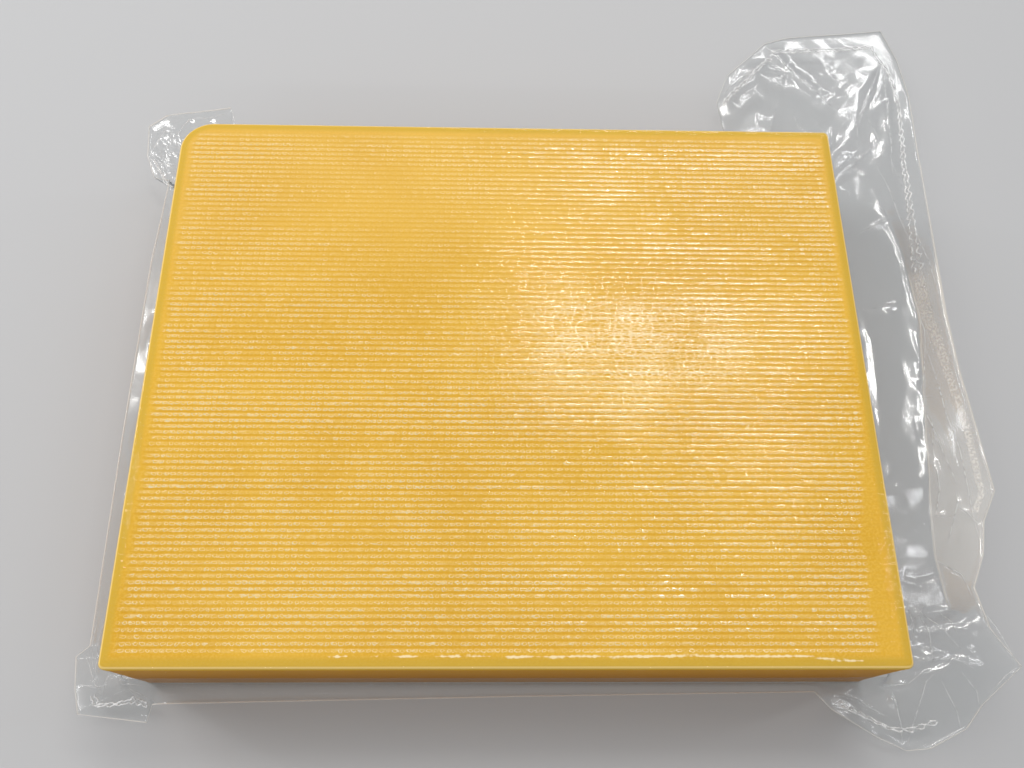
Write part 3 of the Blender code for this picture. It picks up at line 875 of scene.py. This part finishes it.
def facets(x, y, seed, length, width, heading, height):
    """Flat facets between sharp creases: a sloping triangle over each half cell of a warped lattice.

    The lattice's corners stand at drawn heights from -height to +height. Its cells are length by width.
    """
    table = height * np.random.default_rng(seed).uniform(-1, 1, (61, 67))
    turn = np.radians(heading)
    run = (x * np.cos(turn) + y * np.sin(turn)) / length
    off = (y * np.cos(turn) - x * np.sin(turn)) / width
    run = run + slow_waves(x, y, seed + 1, (2.6 * length, 1.7 * length, 3.1 * width), 0.9)
    off = off + slow_waves(x, y, seed + 2, (2.2 * length, 3.7 * width, 2.3 * width), 0.9)
    cell_run, cell_off = np.floor(run).astype(int), np.floor(off).astype(int)
    part_run, part_off = run - cell_run, off - cell_off
    near, far = cell_run % 61, (cell_run + 1) % 61
    low, high = cell_off % 67, (cell_off + 1) % 67
    first = (
        table[near, low] * (1 - part_run - part_off)
        + table[far, low] * part_run
        + table[near, high] * part_off
    )
    second = (
        table[far, high] * (part_run + part_off - 1)
        + table[near, high] * (1 - part_run)
        + table[far, low] * (1 - part_off)
    )
    return np.where(part_run + part_off < 1, first, second)


def crumpled(x, y):
    """How far the film is raised or lowered at a point: low, long facets on the mouth flange and the fins,
    deeper and shorter ones on the ears, and the chief creases on top."""
    right_ears = ease(np.abs(y), 0.115, 0.150) * ease(x, 0.10, 0.14)
    left_ears = ease(-x, 0.17, 0.18) * ease(np.abs(y), 0.115, 0.135)
    on_ears = np.maximum(right_ears, left_ears)
    long_ones = facets(x, y, 41, 0.080, 0.011, 88, 0.0009) + facets(x, y, 51, 0.045, 0.008, 82, 0.0004)
    long_ones = long_ones * (0.3 + 0.7 * ease(x, 0.222, 0.236))
    short_ones = facets(x, y, 61, 0.046, 0.026, 35, 0.0022) + facets(x, y, 71, 0.024, 0.013, -50, 0.0006)
    return long_ones * (1 - on_ears) + short_ones * on_ears + roofs(x, y, CREASES)


def film_sheets(walk, share):
    """The two loose sheets: x, y, upper height, lower height, width, and distance past the mouth's fold.

    The walk is a distance along the film's edge, and the share goes from 0 at the block to 1 at the edge.
    Between, both sheets follow one line from the block over a fold to the edge, raised and lowered by the
    creases. Near the block they part, like a tent.
    """
    along, edge_x, edge_y, edge_height = pouch_edge(walk)
    start = beside_block(along)
    edge = np.stack([edge_x, edge_y], axis=-1)
    width = np.hypot(*np.moveaxis(edge - start, -1, 0))
    fold_along, fold_out, fold_height = (np.array(MOUTH_FOLD) * MM).T
    past_corner = along - BLOCK_WIDTH
    on_mouth = ease(past_corner, fold_along[0] - FOLD_FADE, fold_along[0])
    on_mouth = on_mouth * (1 - ease(past_corner, fold_along[-1], fold_along[-1] + FOLD_FADE))
    mouth_share = np.interp(past_corner, fold_along, fold_out) / width
    fold_share = PLAIN_FOLD_SHARE + (mouth_share - PLAIN_FOLD_SHARE) * on_mouth
    plain_height = np.minimum(PLAIN_FOLD_HEIGHT, edge_height)
    fold_z = plain_height + (np.interp(past_corner, fold_along, fold_height) - plain_height) * on_mouth
    past_fold = np.clip((share - fold_share) / (1 - fold_share), 0, 1)
    middle = fold_z + (edge_height - fold_z) * past_fold

    plan = start + (edge - start) * share[..., None]
    x, y = plan[..., 0], plan[..., 1]
    free = ease(share * width, 0.001, 0.010) * (1 - 0.6 * ease(share, 0.8, 1.0))
    middle = np.maximum(middle + 0.8 * free * crumpled(x, y), LEAST_MIDDLE)
    pocket = np.sin(np.pi * np.clip(share, 0, 1)) * (0.5 + slow_waves(x, y, 31, (0.13, 0.08, 0.05), 0.5))
    gap = SHEET_PARTING + POCKET_PARTING * pocket
    near = np.maximum(share * width - CLING_THICKNESS, 0)
    tent = np.exp(-near / np.minimum(TENT_REACH, 0.28 * width)) * (1 - share)
    upper = middle + gap / 2
    upper = upper + (TENT_TOP - upper) * tent
    lower = middle - gap / 2 - free * np.abs(facets(x, y, 81, 0.06, 0.016, 85, 0.0010))
    lower = lower + (CLING_FOOT - lower) * tent
    lower = np.clip(lower, FLOOR_CLEARANCE, np.maximum(upper - SHEET_GAP, FLOOR_CLEARANCE))
    from_fold = (share - fold_share) * width - OFF_FLANGE * (1 - on_mouth)
    return x, y, upper, np.minimum(lower, upper - SHEET_GAP), width, from_fold


def seal_line(points):
    """A line of walks and insets that runs from edge point to edge point, inset by the given distances."""
    dense = np.linspace(0, walk_at_key[-1], 6000, endpoint=False)
    edge_x, edge_y = pouch_edge(dense)[1:3]
    x, y, inset = np.array(points).T * MM
    walks = dense[np.argmin((edge_x[:, None] - x) ** 2 + (edge_y[:, None] - y) ** 2, axis=0)]
    gone = np.concatenate([[0], np.cumsum(np.abs(np.diff(walks)))])
    at = np.linspace(0, gone[-1], 2 + int(gone[-1] / SEAL_STEP))
    return np.interp(at, gone, walks), np.interp(at, gone, inset)


def seal_inset(walk):
    """How far inside the film's edge a seal runs at each walk. It is far outside where there is none."""
    total = np.full(walk.shape, -0.05)
    for points in (MOUTH_WELD, *(points for _, _, *points in SEALS.values())):
        line, inset = seal_line(points)
        turn = np.argsort(line)
        here = (walk >= line.min()) & (walk <= line.max())
        total = np.where(here, np.interp(walk, line[turn], inset[turn]), total)
    return total


def zipped(first, first_at, second, second_at):
    """Triangles between two closed rings of different counts, matched by how far round each point lies."""
    second_now = second[np.searchsorted(second_at, first_at, side="right") - 1]
    first_now = first[np.searchsorted(first_at, second_at, side="left") - 1]
    turning_first = np.stack([np.roll(first, 1), second_now, first], axis=-1)
    turning_second = np.stack([first_now, np.roll(second, 1), second], axis=-1)
    return turning_first.tolist() + turning_second.tolist()


def film_mesh():
    """Points, faces, stored values and the number of clinging faces of the whole bag.

    The values are distances in millimetres: from the cut edge, off the block, past the fold, from a seal.
    """
    x, y = lattice(2 * ROW_PITCH, ROW_PITCH / 5, FILM_GAP, FILM_EDGE_RADIUS)
    row_dip = 0.5 + 0.5 * np.cos(2 * np.pi * (y - FIRST_GROOVE) / ROW_PITCH)
    waves = slow_waves(x, y, 8, (0.31, 0.2, 0.11), FILM_SAG)
    sag = FILM_ROW_DIP * row_dip * imprint(x, y) + FILM_SAG + waves
    sag = sag * ease(inside(x, y), 0.002, 0.01) + edge_fall(x, y)
    z = FILM_TOP - sag - edge_drop(inside(x, y, FILM_GAP), FILM_EDGE_RADIUS)
    place = numbered(x)
    blocks = [np.stack([x, y, z], axis=-1).reshape(-1, 3)]
    faces = grid_faces(place)
    rim = rim_of(place)
    rim_at = along_outline(blocks[0][rim])
    turn = np.argsort(rim_at, kind="stable")
    rim, rim_at = rim[turn], rim_at[turn]

    walk = pouch_walk()
    along = pouch_edge(walk)[0] % OUTLINE
    turn = np.argsort(along, kind="stable")
    walk, along = walk[turn], along[turn]
    count = len(walk)
    start = beside_block(along)
    edge = np.stack(pouch_edge(walk)[1:3], axis=-1)
    width = np.hypot(*(edge - start).T)
    cling = CLING_THICKNESS / width
    weld = seal_inset(walk)
    rings, measures = [], []
    for level in np.linspace(CLING_START, CLING_END, CLING_RINGS):
        slack = (CLING_THICKNESS - LEAST_SLACK) * (CLING_START - level) / (CLING_START - TENT_TOP)
        slack = LEAST_SLACK + slack
        out = start + (edge - start) * (slack / width)[:, None]
        rings.append(np.column_stack([out, np.full(count, level)]))
        measures.append(np.broadcast_to(NO_MEASURES, (4, count)))
    outwards, inwards = np.linspace(0, 1, UPPER_RINGS), np.linspace(1, 0, LOWER_RINGS)
    for upper_side, steps in ((True, outwards), (False, inwards)):
        for share in cling + (1 - cling) * (0.3 * steps**2 + 0.7 * steps)[:, None]:
            px, py, upper, lower, _, from_fold = film_sheets(walk, share)
            rings.append(np.stack([px, py, upper if upper_side else lower], axis=-1))
            inset = (1 - share) * width
            measures.append(np.stack([inset, share * width, from_fold, inset - weld]) / MM)
    for drawn_in, level in FOOT_RINGS:
        inner = start * (1 - drawn_in / np.hypot(*start.T))[:, None]
        rings.append(np.column_stack([inner, np.full(count, level)]))
        measures.append(np.broadcast_to(NO_MEASURES, (4, count)))

    first = len(blocks[0])
    numbers = first + np.arange(len(rings) * count).reshape(len(rings), count)
    blocks += rings
    faces += zipped(rim, rim_at, numbers[0], along) + stack_faces(numbers[: CLING_RINGS + 1])
    clinging = len(faces)
    faces += stack_faces(numbers[CLING_RINGS:])
    middle = first + numbers.size
    blocks.append(np.array([[0.0, 0.0, FILM_UNDER]]))
    faces += [[int(a), middle, int(b)] for a, b in zip(numbers[-1], np.roll(numbers[-1], -1))]
    ends = [np.broadcast_to(NO_MEASURES, (4, number)) for number in (first, 1)]
    measured = np.concatenate([ends[0], *measures, ends[1]], axis=1)
    return np.concatenate(blocks), faces, dict(zip(FILM_MEASURES, measured)), clinging


def facing_away(tree, bump):
    """0 where the film faces the viewer and 1 where it is seen edge on."""
    return step(tree, "LayerWeight", {"Blend": 0.5, "Normal": bump}, output=1)


def clear_sheet(tree, bump, tint, roughness, angle_gloss, plain_gloss):
    """Tinted clear film that mirrors a plain share of the light, and more where it is seen edge on."""
    through = step(tree, "BsdfTransparent", {"Color": tint})
    gloss = step(tree, "BsdfAnisotropic", {"Color": WHITE, "Roughness": roughness, "Normal": bump})
    edge_on = sums(tree, "POWER", facing_away(tree, bump), 5.0)
    mirror = sums(tree, "MULTIPLY_ADD", edge_on, angle_gloss, plain_gloss)
    return step(tree, "MixShader", (mirror, through, gloss))


def show_film(tree, film):
    """Shows the film, but plain and clear for shadows and soft light, which pass it almost unchanged."""
    passed = step(tree, "BsdfTransparent", {"Color": PASSED_LIGHT})
    for kind in ("Is Diffuse Ray", "Is Shadow Ray"):
        film = step(tree, "MixShader", (step(tree, "LightPath", output=kind), film, passed))
    put(tree, tree.nodes["Material Output"].inputs["Surface"], film)


def clinging_look():
    """Film drawn tight on the cheese: clear, with fine ripples and a wet gloss that keeps to the rows."""
    made, tree, shader, place = new_look("clinging_film")
    tree.nodes.remove(shader)
    height = along_axis(tree, place, 2)
    wrinkle = grain(tree, place, (150.0, 300.0, 120.0))
    relief = sums(tree, "MULTIPLY_ADD", grain(tree, place, (430.0, 700.0, 300.0)), 0.5, wrinkle)
    bump = relief_of(tree, relief, 1.0, 0.00016)
    off_row = apart(tree, sums(tree, "FRACT", row_count(tree, place)), 0.5)
    row_gloss = rise(tree, off_row, 0.15, 0.40, 0.7, 0.2)
    plain_gloss = times(tree, rise(tree, height, *GLOSS_RISE, 0.008, 0.024), row_gloss)
    angle_gloss = rise(tree, height, *GLOSS_RISE, 0.015, 0.12)
    show_film(tree, clear_sheet(tree, bump, CLINGING_TINT, 0.06, angle_gloss, plain_gloss))
    return made


def film_look():
    """Loose clear film: darker and more mirror-like where it is seen edge on, with painted highlights as
    bright lines at its cut edge and at its fold, where the sharp bend also whitens it, hazier past the fold
    of the mouth flange and mottled in the seals."""
    made, tree, shader, place = new_look("clear_film")
    tree.nodes.remove(shader)
    edge, off_block, fold, seal = (stored(tree, name) for name in FILM_MEASURES)
    crumple = step(tree, "TexVoronoi", {"Vector": place, "Scale": 70.0}, feature="DISTANCE_TO_EDGE")
    relief = sums(tree, "MULTIPLY_ADD", grain(tree, place, 160.0, 2.0), 0.2, crumple)
    bump = relief_of(tree, relief, 0.25, 0.0005)
    tint = blended(tree, sums(tree, "POWER", facing_away(tree, bump), 3.0), LOOSE_TINT, EDGE_ON_TINT)
    film = clear_sheet(tree, bump, tint, 0.14, 0.45, rise(tree, off_block, 1.0, 12.0, 0.02, 0.07))
    on_flange = rise(tree, apart(tree, along_axis(tree, place, 1), FLANGE_MIDDLE), *FLANGE_ENDS, 1.0, 0.0)
    # Painted highlights: a bright line along the cut edge, and one along the fold, where the sharp bend
    # also whitens the film.
    cut_edge_highlight = rise(tree, edge, 0.15, 0.8, 0.5, 0.0)
    fold_highlight = times(tree, rise(tree, apart(tree, fold, 0.25), 0.10, 0.40, 0.35, 0.0), on_flange)
    in_seal = rise(tree, apart(tree, seal, 0.0), 1.2, 1.8, 1.0, 0.0)
    mottling = rise(tree, grain(tree, place, 800.0, 2.0), 0.42, 0.60, 0.02, 0.3)
    mottled = times(tree, in_seal, mottling, sums(tree, "MULTIPLY_ADD", on_flange, 0.75, 0.25))
    doubled = times(tree, rise(tree, fold, 0.0, 0.8, 0.0, 0.17), on_flange)
    haze_and_highlights = sums(tree, "ADD", doubled, PLAIN_HAZE)
    haze_and_highlights = sums(tree, "ADD", largest(tree, cut_edge_highlight, fold_highlight, mottled), haze_and_highlights)
    # This white diffuse carries both the film's real haze and the painted highlight lines.
    haze = step(tree, "BsdfDiffuse", {"Color": HAZE_AND_HIGHLIGHT_COLOUR, "Normal": bump})
    show_film(tree, step(tree, "MixShader", (haze_and_highlights, film, haze)))
    return made


film_points, film_faces, film_values, clinging_faces = film_mesh()
film = piece("vacuum_film", film_points, film_faces, [clinging_look(), film_look()], film_values)
loose_face = (np.arange(len(film_faces)) >= clinging_faces).astype(np.int32)
film.data.polygons.foreach_set("material_index", loose_face)
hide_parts("vacuum_pouch")


# Seals
# Where the two sheets are welded together, the hot jaw has left white crinkled lines in the film: across
# the mouth flange near its cut edge, and across the ears, where the pouch was welded when it was made.
THREAD_RADIUS = 0.00040
THREAD_SIDES = 5
THREAD_LIFT = 0.00018
CRINKLE_SPREAD = 0.00065
LEAST_INSET = 0.0012
SEAL_GREY = (0.62, 0.62, 0.62, 1)


def tube(middle, radius):
    """Points and faces of a thin closed tube along a line: a slightly flat ring round each point."""
    run = np.gradient(middle, axis=0)
    run /= np.linalg.norm(run, axis=1)[:, None]
    side = np.cross(run, [0, 0, 1])
    side /= np.linalg.norm(side, axis=1)[:, None]
    turn = 2 * np.pi * np.arange(THREAD_SIDES) / THREAD_SIDES
    ring = np.cos(turn)[:, None] * side[:, None] + np.sin(turn)[:, None] * np.array([0, 0, 0.6])
    points = middle[:, None] + ring * radius[:, None, None]
    numbers = numbered(points[..., 0])
    ends = [numbers[0].tolist(), numbers[-1][::-1].tolist()]
    return points.reshape(-1, 3), stack_faces(numbers) + ends


def joined(tubes):
    """The points and faces of many tubes as one list of each."""
    blocks, faces, first = [], [], 0
    for points, tube_faces in tubes:
        faces += [[first + number for number in face] for face in tube_faces]
        blocks.append(points)
        first += len(points)
    return np.concatenate(blocks), faces


def thread(walk, inset, seed):
    """One crinkled white line on the upper sheet: a thin tube whose radius swells and shrinks along it."""
    draw = np.random.default_rng(seed)
    width = film_sheets(walk, np.ones(len(walk)))[4]
    x, y, upper = film_sheets(walk, 1 - inset / width)[:3]
    swell = THREAD_RADIUS * np.convolve(draw.uniform(0.4, 1.6, len(walk) + 2), np.ones(3) / 3, "valid")
    return tube(np.column_stack([x, y, upper + THREAD_LIFT]), swell)


def crinkle(length, draw):
    """A jagged offset along a seal: two sine waves of 4 to 8 millimetres, two weak ones of 1.3 to 2.4."""
    at = SEAL_STEP * np.arange(length)
    waves = (*draw.uniform(0.004, 0.008, 2), *draw.uniform(0.0013, 0.0024, 2))
    phases = draw.uniform(0, 2 * np.pi, 4)
    shares = (0.6, 0.6, 0.25, 0.25)
    sines = (a * np.sin(2 * np.pi * at / w + p) for a, w, p in zip(shares, waves, phases))
    return CRINKLE_SPREAD * sum(sines)


def seal_mesh(width, count, points, seed):
    """All the crinkled lines of one seal: side by side, crossing each other here and there."""
    draw = np.random.default_rng(seed)
    walk, inset = seal_line(points)
    threads = []
    for line in range(count):
        offset = width * MM * (line / (count - 1) - 0.5) + crinkle(len(walk), draw)
        threads.append(thread(walk, np.maximum(inset + offset, LEAST_INSET), seed + 10 * line))
    return joined(threads)


def white_film_look(name, thin, thick):
    """Melted or sharply bent film: white, glossy, covering between a thin and a thick share of its back. On
    the creases the white is partly a painted highlight.
    """
    made, tree, shader, place = new_look(name)
    put(tree, shader.inputs["Base Color"], blended(tree, grain(tree, place, 700.0), SEAL_GREY, WHITE))
    shader.inputs["Roughness"].default_value = 0.25
    clear = step(tree, "BsdfTransparent", {"Color": WHITE})
    melted = rise(tree, grain(tree, place, 300.0), 0.3, 0.6, thin, thick)
    film = step(tree, "MixShader", (melted, clear, shader.outputs[0]))
    put(tree, tree.nodes["Material Output"].inputs["Surface"], film)
    return made


white_seal = white_film_look("seal", 0.5, 1.0)
for number, (name, (width, count, *points)) in enumerate(SEALS.items()):
    seal_points, seal_faces = seal_mesh(width, count, points, 100 + number)
    seal = piece(name, seal_points, seal_faces, [white_seal])


# Crease ridges
# The film's chief creases are bent so sharply that they show as thin bright ridges: their white is partly
# the film whitened by the bend and partly a painted highlight. Each is a fine tube on the upper sheet that
# swells with the crease's height and tapers to its ends.
CREASE_STEP = 0.001
RIDGE_RADIUS = 0.00009
LOW_RIDGE = 1.2


def ridge(crease, sheet):
    """The tube of one crease. Its height is the mean of the sheet's four nearest points, nearest most."""
    lift, _, _, peak, *corners = crease
    corners, begun = crease_line(corners)
    at = np.linspace(0, begun[-1], 4 + int(begun[-1] / CREASE_STEP))
    x, y = (np.interp(at, begun, column) for column in corners.T)
    away = (sheet[0] - x[:, None]) ** 2 + (sheet[1] - y[:, None]) ** 2
    near = np.argpartition(away, 4, axis=1)[:, :4]
    weight = 1 / (np.take_along_axis(away, near, axis=1) + 1e-9)
    height = (sheet[2][near] * weight).sum(axis=1) / weight.sum(axis=1)
    share = at / begun[-1]
    swell = np.minimum(share / peak, (1 - share) / (1 - peak)) ** 0.6
    return tube(np.column_stack([x, y, height]), RIDGE_RADIUS * (0.25 + lift * swell))


ridge_walk = pouch_walk()
sheet_levels = [film_sheets(ridge_walk, share)[:3] for share in np.linspace(0.01, 1, 2 * UPPER_RINGS)]
sheet = np.array(sheet_levels).transpose(1, 0, 2).reshape(3, -1)
ridge_points, ridge_faces = joined([ridge(crease, sheet) for crease in CREASES if crease[0] > LOW_RIDGE])
ridges = piece("crease_ridges_and_glints", ridge_points, ridge_faces, [white_film_look("crease", 0.25, 0.75)])
